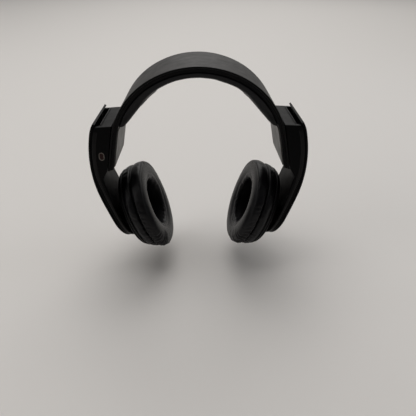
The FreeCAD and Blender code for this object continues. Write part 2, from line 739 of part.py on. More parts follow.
mic_recess = raised("mic_recess", mic_at, stadium_steps(0, 0, 5.4, 8.0), -1.3, 1)
mic_hole = cylinder("mic_hole", mic_at, (0, 0, -WALL - 1), (0, 0, 1), "0.9", f"{WALL + 2}")
mic_rim = raised("mic_rim", mic_at, stadium_steps(0, 0, 5.3, 7.9), -1.25, 0.35)
mic_mouth = raised("mic_mouth", mic_at, stadium_steps(0, 0, 3.9, 6.5), -3, 2)
node("mic_ring", cut("mic_ring", mic_rim, mic_mouth))
node("mic_capsule", cylinder("mic_capsule", mic_at, (0, 0, -WALL - 2.7), (0, 0, 1), "3.0", "2.6"))

# ---- Arms, left and right --------------------------------------------------------------------

housing_left = cut("housing_left_cut", housing_base, power_slot, volume_slot, jack_hole)
housing_left = fuse("housing_left_lugs", housing_left, *volume_lugs)
node("arm_housing_left", cut("arm_housing_left", housing_left, volume_bore))
node("arm_housing_right", cut("arm_housing_right", mirrored("housing_mirror", housing_base),
                              mute_hole, light_hole, charge_hole, mic_recess, mic_hole))
node("arm_cover_left", cover_base)
node("arm_cover_right", mirrored("arm_cover_right", cover_base))
node("arm_screws_left", screws_base)
node("arm_screws_right", mirrored("arm_screws_right", screws_base))

# Rails: a T of sheet steel on each tongue, whose plate runs inside the housing.
RAIL_IN = INNER_WALL + 0.35
RAIL_OUT = RAIL_IN + size("rail_wall")
half_rail = size("rail_width") / 2
half_web = size("rail_web") / 2
rail_blank = fuse("rail_blank",
                  box("rail_plate", SLIDE, (RAIL_IN, -half_rail, WEB_FOOT - 2.5),
                      (RAIL_OUT, half_rail, WEB_TOP + 1.8)),
                  box("rail_foot", SLIDE, (0.02, -half_web, WEB_FOOT),
                      (RAIL_IN + 0.2, half_web, WEB_TOP)))
rail_tools = [cylinder(f"rail_hole{i}", SLIDE, (-1, 0, height), (1, 0, 0), "Sizes.screw_radius", "4.4")
              for i, height in enumerate(RAIL_SCREWS)]
rail_base = cut("rail_base", rail_blank, *rail_tools)
node("slider_rail_left", rail_base)
node("slider_rail_right", mirrored("slider_rail_right", rail_base))
rail_screws = []
for number, height in enumerate(RAIL_SCREWS):
    rail_screws.append(cylinder(f"rail_screw{number}", SLIDE, (-FRAME_IN + 1.2, 0, height),
                                (1, 0, 0), "Sizes.screw_radius", f"{FRAME_IN + 1.8}"))
    rail_screws.append(cylinder(f"rail_head{number}", SLIDE, (-FRAME_IN + 0.1, 0, height),
                                (1, 0, 0), "Sizes.screw_head", "1.15"))
rail_screws_base = fuse("rail_screws_base", *rail_screws)
node("rail_screws_left", rail_screws_base)
node("rail_screws_right", mirrored("rail_screws_right", rail_screws_base))

# Electronics: the main board in the left arm, the battery in the right arm.
board = fuse("board_blank",
             box("board_plate", SLIDE, (7.0, -28.0, -33.0), (8.6, 12.0, -6.0)),
             box("board_chip", SLIDE, (8.5, -20.0, -26.0), (9.8, -8.0, -14.0)),
             box("board_radio", SLIDE, (8.5, -2.0, -28.0), (10.2, 10.0, -20.0)))
node("main_board", board)
battery = box("battery_cell", SLIDE, (6.3, -24.0, -33.0), (11.5, 14.0, -11.0))
battery_round = rounded("battery_round", battery, 1.2, lambda edge: abs(edge.Length - 38.0) < 1e-3)
node("battery", mirrored("battery", battery_round))

# ---- Cup pivots: a block on an upright pin and a level pin ------------------------------------

def both_sides(label, source):
    node(label + "_left", source)
    node(label + "_right", mirrored(label + "_right", source))


block_blank = box("block_blank", PIVOT, (-6.6, -4.2, -2.2), (6.6, 4.2, 2.2))
swivel_bore = cylinder("swivel_bore", PIVOT, (-8, 0, 0), (1, 0, 0), "Sizes.pin_radius", "16")
tilt_bore = cylinder("tilt_bore", PIVOT, (0, -6, 0), (0, 1, 0), "Sizes.pin_radius + Sizes.pin_gap",
                     "12")
block_edges = rounded("block_edges", block_blank, 0.8, lambda edge: abs(edge.Length - 8.4) < 1e-3)
both_sides("pivot_block", cut("pivot_block_cut", block_edges, swivel_bore, tilt_bore))

# The upright pin is pressed into the block in two halves, clear of the level pin between them.
upper_pin = cylinder("upper_pin", PIVOT, (-LUG_FAR, 0, 0), (1, 0, 0), "Sizes.pin_radius", "7.6")
lower_pin = cylinder("lower_pin", PIVOT, (1.9, 0, 0), (1, 0, 0), "Sizes.pin_radius", "7.6")
both_sides("swivel_pins", fuse("swivel_pins", upper_pin, lower_pin))
both_sides("tilt_pin", cylinder("tilt_pin", PIVOT, (0, -7.6, 0), (0, 1, 0), "Sizes.pin_radius",
                                "15.2"))

# ---- Ear cups, each piece turned about the cup's axis ------------------------------------------
# Local Z is the distance behind the mounting plane: the pad's face is at negative Z.

MIRROR_TURN = Rotation(Vector(0, 1, 0), -90.0 - size("cup_lean"))
CUP_PLACES = (("left", CUP),
              ("right", Placement(Vector(-size("cup_x"), 0, size("cup_height")), MIRROR_TURN)))
CUP_SCREW_RING = 24.3
CUP_SCREWS = ((CUP_SCREW_RING, 0), (0, CUP_SCREW_RING), (-CUP_SCREW_RING, 0), (0, -CUP_SCREW_RING))
DIMPLE = 15.0


def cup_housing(name):
    wall = size("cup_wall")
    body = turned(name, [
        (0.0, 1.8), (DIMPLE, 1.8), (DIMPLE + 0.8, ("cup_back", 0.0)),
        (20.0, ("cup_back", 0.0)), (36.0, 1.9), (("cup_radius", -1.2), 0.6),
        (("cup_radius", 0.0), -0.4), (("cup_radius", 0.0), ("cup_front", 0.0)),
        (("cup_radius", -wall), ("cup_front", 0.0)), (("cup_radius", -wall), -0.4),
        (36.0, 1.9 - wall), (20.0, ("cup_back", -wall)),
        (DIMPLE + 2.0, ("cup_back", -wall)), (DIMPLE + 1.2, 1.8 - wall), (0.0, 1.8 - wall)])
    return fillet_body(body, name + "_edge", 0.6, circle_at(size("cup_radius"), -0.4))


def cup_baffle(name):
    body = turned(name, [
        (0.0, ("grille_front", 0.0)), (19.0, ("grille_front", 0.0)), (21.5, -7.5),
        (22.5, ("cup_front", 0.0)), (("baffle_radius", 0.0), ("cup_front", 0.0)),
        (("baffle_radius", 0.0), -0.4), (20.8, -0.4), (19.9, -6.8), (18.3, -7.9),
        (0.0, -7.9)])
    ring_of_holes(body, name + "_outer_holes", 14.5, 1.1, -9.5, -7.5, 16)
    return ring_of_holes(body, name + "_inner_holes", 8.5, 1.1, -9.5, -7.5, 9)


def driver_basket(name):
    return turned(name, [
        (9.2, -3.6), (18.0, -4.6), (19.0, -6.4), (18.2, -7.6), (17.0, -7.6), (16.6, -5.4),
        (12.2, -4.6), (9.2, -4.6)])


def driver_magnet(name):
    return turned(name, [(0.0, 0.1), (9.1, 0.1), (9.1, -4.9), (0.0, -4.9)])


def driver_cone(name):
    return turned(name, [
        (0.0, -7.4), (5.0, -6.9), (9.5, -5.4), (16.4, -7.2), (16.4, -7.5), (9.5, -5.7),
        (5.0, -7.2), (0.0, -7.7)])


def pad_ring(name):
    return turned(name, [
        (27.0, ("cup_front", -0.1)), (("ring_radius", 0.0), ("cup_front", -0.1)),
        (("ring_radius", 0.0), ("ring_front", 0.0)), (27.0, ("ring_front", 0.0))])


def ear_pad(name):
    body = turned(name, [
        (("pad_hole", 0.0), ("pad_back", 0.0)), (("pad_back_radius", 0.0), ("pad_back", 0.0)),
        (("pad_radius", 0.0), -9.0), (("pad_radius", 0.0), -19.0),
        (("pad_face_radius", 0.0), ("pad_face", 3.5)), (("pad_face_radius", -4.0), ("pad_face", 0.0)),
        (("pad_hole", 4.5), ("pad_face", 0.0)), (("pad_hole", 0.0), ("pad_face", 4.5))])
    return body


def ear_scrim(name):
    return turned(name, [(0.0, -9.7), (24.6, -9.7), (24.6, -9.2), (0.0, -9.2)])


CUP_PIECES = (("cup_housing", cup_housing), ("speaker_baffle", cup_baffle),
              ("driver_basket", driver_basket), ("driver_magnet", driver_magnet),
              ("driver_cone", driver_cone), ("pad_ring", pad_ring), ("ear_pad", ear_pad),
              ("ear_scrim", ear_scrim))

for side, place in CUP_PLACES:
    for label, make in CUP_PIECES:
        piece = make(f"{label}_{side}_body")
        if label == "cup_housing":
            lugs = [box(f"cup_lug_{side}{number}", Placement(), (-3.2, low, 1.4),
                        (3.2, high, size("pivot_shift") + 2.2))
                    for number, (low, high) in enumerate(((4.6, 7.6), (-7.6, -4.6)))]
            bosses = [cylinder(f"cup_boss_{side}{number}", Placement(),
                               (x, y, -0.3), (0, 0, 1), "2.4", "2.6")
                      for number, (x, y) in enumerate(CUP_SCREWS)]
            joined = fuse(f"cup_housing_{side}_joined", piece, *lugs, *bosses)
            pin_way = cylinder(f"cup_bore_{side}", Placement(), (0, -9, size("pivot_shift")),
                               (0, 1, 0), "Sizes.pin_radius", "18")
            piece = cut(f"cup_housing_{side}_bored", joined, pin_way)
        if label == "speaker_baffle":
            ring_of_holes(piece, f"baffle_screw_holes_{side}", CUP_SCREW_RING, 1.0, -3.0, 0.0, 4)
        piece.Placement = place
        node(f"{label}_{side}", piece)
    screws = []
    for number, (x, y) in enumerate(CUP_SCREWS):
        screws.append(cylinder(f"cup_screw_{side}{number}", Placement(), (x, y, -3.0), (0, 0, 1),
                               "Sizes.screw_radius", "4.6"))
        screws.append(cylinder(f"cup_head_{side}{number}", Placement(), (x, y, -3.2), (0, 0, 1),
                               "Sizes.screw_head", "1.15"))
    group = fuse(f"cup_screws_{side}_group", *screws)
    group.Placement = place
    node(f"cup_screws_{side}", group)

# ---- Checks and export --------------------------------------------------------------------------

doc.recompute()
for item in doc.Objects:
    if "Invalid" in item.State or "Error" in item.State:
        raise RuntimeError(f"{item.Name} failed: {item.State}")
for label, piece in nodes.items():
    shape = piece.Shape
    if shape.isNull() or not shape.isValid():
        raise RuntimeError(f"{label} has no valid shape")
os.makedirs("parts", exist_ok=True)
for label, piece in nodes.items():
    piece.Shape.exportStep(f"parts/{label}.step")
    print(label, len(piece.Shape.Solids), round(piece.Shape.Volume, 1))
print(len(nodes), "nodes")
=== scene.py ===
import json
import math

import bmesh
import bpy
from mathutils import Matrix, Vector, noise


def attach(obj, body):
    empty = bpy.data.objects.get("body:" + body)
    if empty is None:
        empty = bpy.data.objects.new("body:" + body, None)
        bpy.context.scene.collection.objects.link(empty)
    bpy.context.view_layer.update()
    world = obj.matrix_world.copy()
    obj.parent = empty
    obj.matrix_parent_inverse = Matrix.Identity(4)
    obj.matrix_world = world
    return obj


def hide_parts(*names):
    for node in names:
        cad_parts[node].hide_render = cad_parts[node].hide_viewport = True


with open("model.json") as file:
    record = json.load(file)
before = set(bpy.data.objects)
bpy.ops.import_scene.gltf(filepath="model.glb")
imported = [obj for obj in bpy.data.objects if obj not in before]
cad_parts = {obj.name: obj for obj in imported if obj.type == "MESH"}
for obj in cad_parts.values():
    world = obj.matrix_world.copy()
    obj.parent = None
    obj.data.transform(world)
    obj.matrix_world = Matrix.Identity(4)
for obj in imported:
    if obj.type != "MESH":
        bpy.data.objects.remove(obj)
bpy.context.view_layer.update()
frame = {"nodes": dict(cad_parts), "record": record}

MM = 0.001
nodes = frame["nodes"]

# ---- Camera, light and floor ---------------------------------------------------------------

# The camera stands in front of the object and above it.
CAMERA_AT = Vector((-0.00099, -0.37576, 0.08732))
CAMERA_FORWARD = Vector((0.02360, 0.84237, -0.53839))
camera_data = bpy.data.cameras.new("camera")
camera_data.sensor_width = 36.0
camera_data.lens = 33.32
camera_data.clip_start = 0.01
camera = bpy.data.objects.new("camera", camera_data)
camera.location = CAMERA_AT
camera.rotation_euler = CAMERA_FORWARD.to_track_quat("-Z", "Y").to_euler()
bpy.context.scene.collection.objects.link(camera)
bpy.context.scene.camera = camera
bpy.context.scene.view_settings.view_transform = "Standard"
bpy.context.scene.view_settings.look = "None"


def soft_light(name, at, towards, size, power, colour):
    """A rectangular area light of a size in metres, aimed at a point, with its power in watts."""
    data = bpy.data.lights.new(name, "AREA")
    data.shape = "RECTANGLE"
    data.size, data.size_y = size
    data.energy = power
    data.color = colour
    light = bpy.data.objects.new(name, data)
    light.location = at
    aim = Vector(towards) - Vector(at)
    light.rotation_euler = aim.to_track_quat("-Z", "Y").to_euler()
    bpy.context.scene.collection.objects.link(light)


OBJECT_MIDDLE = (0.0, 0.0, -0.1)
WARM, WARMER, COOL = (1.0, 0.985, 0.965), (1.0, 0.975, 0.95), (0.90, 0.94, 1.0)
soft_light("light_above", (-0.35, 0.55, 2.1), (0.0, 0.1, -0.1), (2.2, 1.8), 24.0, WARM)
soft_light("light_behind", (0.3, 3.2, 2.4), (0.0, 2.2, -0.2), (3.2, 2.4), 46.0, WARM)
soft_light("light_left", (-1.15, -0.35, 0.55), OBJECT_MIDDLE, (0.7, 0.9), 2.2, WARMER)
soft_light("light_right", (1.2, 0.1, 0.5), OBJECT_MIDDLE, (0.6, 0.9), 1.6, COOL)

world = bpy.data.worlds.new("studio")
bpy.context.scene.world = world
world.use_nodes = True
sky = world.node_tree
sky.nodes.clear()
# The room is brighter behind the object than on the camera's side. The camera itself sees one
# pale backdrop.
sky_place = sky.nodes.new("ShaderNodeTexCoord")
sky_split = sky.nodes.new("ShaderNodeSeparateXYZ")
sky_ramp = sky.nodes.new("ShaderNodeMapRange")
sky_ramp.inputs["From Min"].default_value = -0.6
sky_ramp.inputs["From Max"].default_value = 0.7
sky_ramp.inputs["To Min"].default_value = 0.07
sky_ramp.inputs["To Max"].default_value = 0.46
sky_room = sky.nodes.new("ShaderNodeBackground")
sky_room.inputs["Color"].default_value = (1.0, 0.98, 0.955, 1.0)
sky_backdrop = sky.nodes.new("ShaderNodeBackground")
sky_backdrop.inputs["Color"].default_value = (0.40, 0.385, 0.365, 1.0)
sky_rays = sky.nodes.new("ShaderNodeLightPath")
sky_mix = sky.nodes.new("ShaderNodeMixShader")
sky_out = sky.nodes.new("ShaderNodeOutputWorld")
sky.links.new(sky_place.outputs["Generated"], sky_split.inputs[0])
sky.links.new(sky_split.outputs["Y"], sky_ramp.inputs["Value"])
sky.links.new(sky_ramp.outputs[0], sky_room.inputs["Strength"])
sky.links.new(sky_rays.outputs["Is Camera Ray"], sky_mix.inputs[0])
sky.links.new(sky_room.outputs[0], sky_mix.inputs[1])
sky.links.new(sky_backdrop.outputs[0], sky_mix.inputs[2])
sky.links.new(sky_mix.outputs[0], sky_out.inputs["Surface"])

# ---- Materials -------------------------------------------------------------------------------


class Surface:
    """A material whose patterns follow the object's own coordinates, in metres."""

    def __init__(self, name, colour, roughness, specular=0.5, metallic=0.0, sheen=0.0, coat=0.0):
        self.material = bpy.data.materials.new(name)
        self.material.use_nodes = True
        self.tree = self.material.node_tree
        self.shader = self.tree.nodes["Principled BSDF"]
        self.colour = colour
        self.set("Base Color", (*colour, 1.0))
        self.set("Roughness", roughness)
        self.set("Specular IOR Level", specular)
        self.set("Metallic", metallic)
        self.set("Sheen Weight", sheen)
        self.set("Coat Weight", coat)
        self.place = self.add("ShaderNodeTexCoord").outputs["Object"]
        self.normal = None

    def add(self, kind):
        return self.tree.nodes.new(kind)

    def set(self, socket, value):
        self.shader.inputs[socket].default_value = value

    def join(self, output, socket):
        self.tree.links.new(output, socket)

    def noise(self, scale, detail, stretch=None):
        texture = self.add("ShaderNodeTexNoise")
        texture.inputs["Scale"].default_value = scale
        texture.inputs["Detail"].default_value = detail
        self.join(self.stretched(stretch), texture.inputs["Vector"])
        return texture.outputs["Fac"]

    def stretched(self, stretch):
        if stretch is None:
            return self.place
        mapping = self.add("ShaderNodeMapping")
        mapping.inputs["Scale"].default_value = stretch
        self.join(self.place, mapping.inputs["Vector"])
        return mapping.outputs[0]

    def cells(self, scale):
        texture = self.add("ShaderNodeTexVoronoi")
        texture.feature = "F1"
        texture.inputs["Scale"].default_value = scale
        self.join(self.place, texture.inputs["Vector"])
        return texture.outputs["Distance"]

    def ramp(self, value, low, high, out_low=0.0, out_high=1.0):
        made = self.add("ShaderNodeMapRange")
        for socket, number in zip(("From Min", "From Max", "To Min", "To Max"),
                                  (low, high, out_low, out_high)):
            made.inputs[socket].default_value = number
        self.join(value, made.inputs["Value"])
        return made.outputs[0]

    def tint(self, value, other):
        """Mixes another colour into the base colour, by a value from 0 to 1."""
        mix = self.add("ShaderNodeMix")
        mix.data_type = "RGBA"
        mix.inputs["A"].default_value = (*self.colour, 1.0)
        mix.inputs["B"].default_value = (*other, 1.0)
        self.join(value, mix.inputs["Factor"])
        self.join(mix.outputs["Result"], self.shader.inputs["Base Color"])

    def rough(self, value, low, high):
        """Varies the roughness between two figures."""
        self.join(self.ramp(value, 0.3, 0.7, low, high), self.shader.inputs["Roughness"])

    def bump(self, value, depth, strength):
        """Adds relief of a depth in metres on top of any relief added before."""
        made = self.add("ShaderNodeBump")
        made.inputs["Strength"].default_value = strength
        made.inputs["Distance"].default_value = depth
        self.join(value, made.inputs["Height"])
        if self.normal is not None:
            self.join(self.normal, made.inputs["Normal"])
        self.normal = made.outputs[0]
        self.join(self.normal, self.shader.inputs["Normal"])


def moulded(name, colour, lighter, rough, specular, grain=2600.0, depth=0.00006):
    """Moulded plastic: fine spark texture, faint cloudiness and slightly uneven gloss."""
    made = Surface(name, colour, rough, specular)
    made.tint(made.ramp(made.noise(38.0, 4.0), 0.35, 0.75), lighter)
    made.rough(made.noise(90.0, 3.0), rough - 0.05, rough + 0.06)
    made.bump(made.noise(grain, 2.0), depth, 0.45)
    return made.material


def leather(name, colour, lighter, rough):
    """Artificial leather: pebbles under a millimetre wide, over soft creasing."""
    made = Surface(name, colour, rough, specular=0.22)
    pebbles = made.cells(1500.0)
    made.tint(made.ramp(made.noise(120.0, 4.0), 0.35, 0.7), lighter)
    made.rough(pebbles, rough + 0.10, rough - 0.04)
    made.bump(made.noise(260.0, 3.0), 0.00035, 0.30)
    made.bump(pebbles, 0.00011, 0.55)
    return made.material


def woven(name, colour, lighter):
    """Open-weave cloth: two sets of threads that cross."""
    made = Surface(name, colour, 0.85, specular=0.2, sheen=0.3)
    threads = []
    for stretch in ((1.0, 0.0, 0.0), (0.0, 1.0, 0.0)):
        wave = made.add("ShaderNodeTexWave")
        wave.wave_type = "BANDS"
        wave.bands_direction = "DIAGONAL"
        wave.inputs["Scale"].default_value = 420.0
        wave.inputs["Distortion"].default_value = 0.6
        made.join(made.stretched(stretch), wave.inputs["Vector"])
        threads.append(wave.outputs["Fac"])
    crossing = made.add("ShaderNodeMath")
    crossing.operation = "MAXIMUM"
    for socket, thread in zip(crossing.inputs, threads):
        made.join(thread, socket)
    made.tint(made.ramp(crossing.outputs[0], 0.5, 1.0), lighter)
    made.bump(crossing.outputs[0], 0.00025, 0.7)
    return made.material


SCRATCH_STRETCH = (1.0, 1.0, 0.06)


def metal(name, colour, darker, rough):
    """Brushed or plated metal: long fine scratches."""
    made = Surface(name, colour, rough, metallic=1.0)
    scratches = made.noise(2200.0, 2.0, SCRATCH_STRETCH)
    made.tint(made.ramp(scratches, 0.3, 0.7), darker)
    made.rough(scratches, rough - 0.06, rough + 0.10)
    made.bump(scratches, 0.00002, 0.35)
    return made.material


def film(name, colour, lighter, rough, scale):
    """Thin plastic sheet or coating with large soft blotches."""
    made = Surface(name, colour, rough, coat=0.15)
    made.tint(made.ramp(made.noise(scale, 3.0), 0.35, 0.65), lighter)
    made.bump(made.noise(scale * 6, 2.0), 0.00003, 0.3)
    return made.material


LEATHER = leather("leatherette", (0.0018, 0.0017, 0.0027), (0.0030, 0.0029, 0.0042), 0.38)
SCRIM = woven("scrim_cloth", (0.003, 0.003, 0.0034), (0.018, 0.018, 0.019))

# Each material slot's look: its maker, then the maker's colours and settings.
LOOKS = {
    "band_satin": (moulded, (0.0165, 0.0152, 0.0148), (0.0195, 0.0180, 0.0175),
                   0.48, 0.17, 3000.0, 0.00004),
    "black_plastic": (moulded, (0.0020, 0.0020, 0.0023), (0.0030, 0.0030, 0.0033), 0.46, 0.10),
    "arm_plastic": (moulded, (0.0019, 0.0019, 0.0022), (0.0027, 0.0027, 0.0030),
                    0.38, 0.07, 3200.0, 0.00003),
    "cover_plastic": (moulded, (0.0014, 0.0014, 0.0016), (0.0020, 0.0020, 0.0023),
                      0.34, 0.11, 3200.0, 0.00003),
    "grey_plastic": (moulded, (0.010, 0.010, 0.011), (0.014, 0.014, 0.015), 0.42, 0.25),
    "spring_steel": (metal, (0.33, 0.34, 0.37), (0.22, 0.23, 0.27), 0.34),
    "steel": (metal, (0.55, 0.55, 0.56), (0.42, 0.42, 0.43), 0.26),
    "dark_screw": (metal, (0.07, 0.07, 0.075), (0.045, 0.045, 0.05), 0.38),
    "ribbon": (film, (0.45, 0.20, 0.04), (0.52, 0.26, 0.06), 0.3, 60.0),
    "board": (film, (0.010, 0.10, 0.045), (0.02, 0.14, 0.06), 0.35, 140.0),
    "battery_wrap": (film, (0.04, 0.11, 0.33), (0.06, 0.14, 0.40), 0.3, 70.0),
    "light_pipe": (film, (0.62, 0.66, 0.70), (0.72, 0.76, 0.80), 0.22, 300.0),
    "pale_trim": (moulded, (0.16, 0.14, 0.125), (0.20, 0.175, 0.155), 0.45, 0.3),
    "aluminium": (metal, (0.60, 0.60, 0.60), (0.5, 0.5, 0.5), 0.30),
    "cone_film": (film, (0.22, 0.22, 0.24), (0.27, 0.27, 0.29), 0.25, 160.0),
}
MATERIALS = {name: maker(name, *settings) for name, (maker, *settings) in LOOKS.items()}
MATERIALS["leatherette"] = LEATHER
MATERIALS["scrim"] = SCRIM
PORT_MESH = woven("port_mesh", (0.020, 0.006, 0.005), (0.060, 0.020, 0.016))
# The slot lip's light grey colour is a painted highlight: the bright line along the edge of the
# arm's top.
LIP_PAINTED_HIGHLIGHT = moulded("lip_painted_highlight", (0.016, 0.016, 0.017), (0.022, 0.022, 0.023), 0.36, 0.2)
PLATE_SATIN = moulded("plate_satin", (0.062, 0.058, 0.052), (0.078, 0.073, 0.066), 0.42, 0.2)
# The arm strips' lighter colour is a painted highlight: the band of light along each arm wall,
# over the strips' real crowned shape.
STRIP_PAINTED_HIGHLIGHT = moulded("strip_painted_highlight", (0.0046, 0.0042, 0.0044), (0.0060, 0.0055, 0.0056),
                      0.36, 0.16, 2800.0, 0.00004)

# The band's satin finish stops at its front and back edges, whose normals lie this far along Y,
# and at the top of the tongues that run down inside the arms.
EDGE_FACING, TONGUE_TOP = 0.5, -0.050
slot_of = {part["node"]: part["material_slot"] for part in frame["record"]["subparts"]}
for name, node in nodes.items():
    node.data.materials.clear()
    node.data.materials.append(MATERIALS[slot_of[name]])
for side in ("left", "right"):
    nodes[f"tongue_plate_{side}"].data.materials[0] = PLATE_SATIN
shell = nodes["headband_shell"]
shell.data.materials.append(MATERIALS["cover_plastic"])
for face in shell.data.polygons:
    if abs(face.normal.y) > EDGE_FACING or face.center.z < TONGUE_TOP:
        face.material_index = 1

# ---- Building helpers ------------------------------------------------------------------------

CURVE_STEPS, ARC_STEPS = 12, 32


def piece(name, data, material, body):
    """A smooth-shaded object that rides on a body and has the given material."""
    made = bpy.data.objects.new(name, data)
    bpy.context.scene.collection.objects.link(made)
    data.materials.clear()
    data.materials.append(material)
    for face in data.polygons:
        face.use_smooth = True
    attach(made, body)
    return made


def mesh_from(name, points, faces):
    """A mesh whose faces all look outwards."""
    data = bpy.data.meshes.new(name)
    data.from_pydata([tuple(point) for point in points], [], faces)
    shape = bmesh.new()
    shape.from_mesh(data)
    bmesh.ops.recalc_face_normals(shape, faces=shape.faces)
    shape.to_mesh(data)
    shape.free()
    return data


def grid_faces(rows, columns, closed_rows, closed_columns):
    """Four-sided faces over rows of points; a closed direction joins its last to its first."""
    faces = []
    for i in range(rows if closed_rows else rows - 1):
        for j in range(columns if closed_columns else columns - 1):
            below, right = (i + 1) % rows, (j + 1) % columns
            faces.append((i * columns + j, i * columns + right,
                          below * columns + right, below * columns + j))
    return faces


def evenly(line, count, gaps):
    """Points along a line at equal steps, its whole length being a number of gaps."""
    lengths = [0.0]
    for start, end in zip(line, line[1:]):
        lengths.append(lengths[-1] + (end - start).length)
    even = []
    place = 0
    for i in range(count):
        wanted = lengths[-1] * i / gaps
        while place < len(line) - 2 and lengths[place + 1] < wanted:
            place += 1
        share = (wanted - lengths[place]) / (lengths[place + 1] - lengths[place])
        even.append(line[place].lerp(line[place + 1], min(share, 1.0)))
    return even


def smooth_loop(points, count):
    """Even points on a closed smooth (Catmull-Rom) curve through the given ones."""
    total = len(points)
    fine = []
    for i in range(total):
        a, b, c, d = (points[(i + k) % total] for k in (-1, 0, 1, 2))
        for step in range(CURVE_STEPS):
            t = step / CURVE_STEPS
            fine.append(0.5 * (2 * b + (c - a) * t + (2 * a - 5 * b + 4 * c - d) * t * t
                               + (3 * b - a - 3 * c + d) * t * t * t))
    fine.append(points[0])
    return evenly(fine, count, count)


def final_mesh(target):
    """Puts the mesh, with its modifiers applied, back on the object."""
    depsgraph = bpy.context.evaluated_depsgraph_get()
    data = bpy.data.meshes.new_from_object(target.evaluated_get(depsgraph))
    target.modifiers.clear()
    target.data = data
    for face in data.polygons:
        face.use_smooth = True


def subdivide(target):
    """Smooths the mesh by splitting each face once."""
    modifier = target.modifiers.new("subdivision", "SUBSURF")
    modifier.levels = 1
    modifier.render_levels = 1
    final_mesh(target)


SIM_FRAMES = 20
to_inflate = []


def inflate(target, pinned, loose, pressure, growth, cap):
    """Queues a cloth simulation: pinned vertices stay, and loose gives how much each grows."""
    pins = target.vertex_groups.new(name="pins")
    slack = target.vertex_groups.new(name="slack")
    for i, weight in enumerate(pinned):
        if weight > 0:
            pins.add([i], weight, "REPLACE")
    for i, weight in enumerate(loose):
        slack.add([i], 1.0 - weight, "REPLACE")
    cloth = target.modifiers.new("cloth", "CLOTH")
    rules = cloth.settings
    rules.quality = 7
    rules.mass = 0.25
    rules.tension_stiffness = rules.compression_stiffness = 20
    rules.shear_stiffness = 8
    rules.bending_stiffness = 0.25
    rules.air_damping = 3
    rules.vertex_group_mass = "pins"
    rules.use_pressure = True
    rules.uniform_pressure_force = pressure
    rules.vertex_group_shrink = "slack"
    rules.shrink_min = -growth
    rules.shrink_max = 0.0
    rules.effector_weights.gravity = 0.0
    cloth.collision_settings.use_collision = False
    cloth.point_cache.frame_start = 1
    cloth.point_cache.frame_end = SIM_FRAMES
    to_inflate.append((target, cap, [vertex.co.copy() for vertex in target.data.vertices]))


def run_inflations():
    """Runs the queued simulations together, and holds each point's move within its cap."""
    scene = bpy.context.scene
    if to_inflate:
        scene.frame_start, scene.frame_end = 1, SIM_FRAMES
        for number in range(1, SIM_FRAMES + 1):
            scene.frame_set(number)
        for target, cap, before in to_inflate:
            final_mesh(target)
            for vertex, start in zip(target.data.vertices, before):
                move = vertex.co - start
                if move.length > cap:
                    vertex.co = start + move * (cap / move.length)
        scene.frame_set(1)


# ---- Ear pads --------------------------------------------------------------------------------

CUP_LEAN = math.radians(20.0)
CUP_CENTRE = Vector((72.6, 0.0, -150.5)) * MM
CUP_OUT = Vector((math.cos(CUP_LEAN), 0.0, -math.sin(CUP_LEAN)))
CUP_DOWN = Vector((-math.sin(CUP_LEAN), 0.0, -math.cos(CUP_LEAN)))
SIDES = (("left", 1.0), ("right", -1.0))


def cup_point(sign, angle, radius, depth):
    """A point by its angle from the cup's lowest point, its radius and its depth, in mm.

    Angle 90 degrees is the cup's back, and depth is positive away from the head.
    """
    flat = (CUP_CENTRE + CUP_DOWN * (radius * math.cos(angle) * MM)
            + Vector((0.0, radius * math.sin(angle) * MM, 0.0)) + CUP_OUT * (depth * MM))
    return Vector((flat.x * sign, flat.y, flat.z))


def wave(seed, *place):
    """Smooth noise between -1 and 1 over two coordinates."""
    return noise.noise(Vector((*place, seed)))


# The pad's section: radius and depth in mm, from the back plate round the outside.
SEAM_RADIUS, SEAM_DEPTH = 46.2, -14.9
PAD_BACK = [(27.0, -4.0), (33.0, -3.9), (39.0, -3.9), (43.4, -4.1)]
PAD_ROLL_ONE = [(45.3, -5.3), (46.5, -7.8), (47.0, -10.6), (46.8, -13.2)]
PAD_ROLL_TWO = [(46.9, -16.8), (47.5, -19.6), (47.6, -23.0), (46.9, -26.0)]
PAD_FACE = [(45.0, -28.1), (41.6, -29.2), (36.8, -29.5), (32.2, -28.8)]
PAD_INNER = [(28.6, -26.4), (26.2, -22.8), (25.3, -18.0), (25.1, -12.5), (25.4, -7.0)]
PAD_SECTION = (PAD_BACK + PAD_ROLL_ONE + [(SEAM_RADIUS, SEAM_DEPTH)] + PAD_ROLL_TWO + PAD_FACE
               + PAD_INNER)
PAD_ROUND, PAD_ACROSS = 176, 74
LOW_FRONT = math.radians(-32.0)
# The fuller padding starts this deep and this far out, and is full over the next stretch, in mm.
SAG_DEPTH, SAG_DEPTH_RUN, SAG_RADIUS, SAG_RADIUS_RUN = 5.0, 8.0, 36.0, 11.0
# The cover is held at the back plate and at the seam, and less firmly down the inner wall.
BACK_DEPTH, SEAM_REACH = -4.6, 1.1
INNER_RADIUS, INNER_DEPTH, INNER_HOLD = 25.9, -21.0, 0.35
# The outer wall is slack, in patches and most of all low down; the face has less slack.
OUTER_WALL, FACE_SLACK, SLACK_LEAST, SLACK_LOW = 43.0, 0.35, 0.15, 0.9
PATCH_PITCH, PATCH_DEPTH = 1.6, 0.8


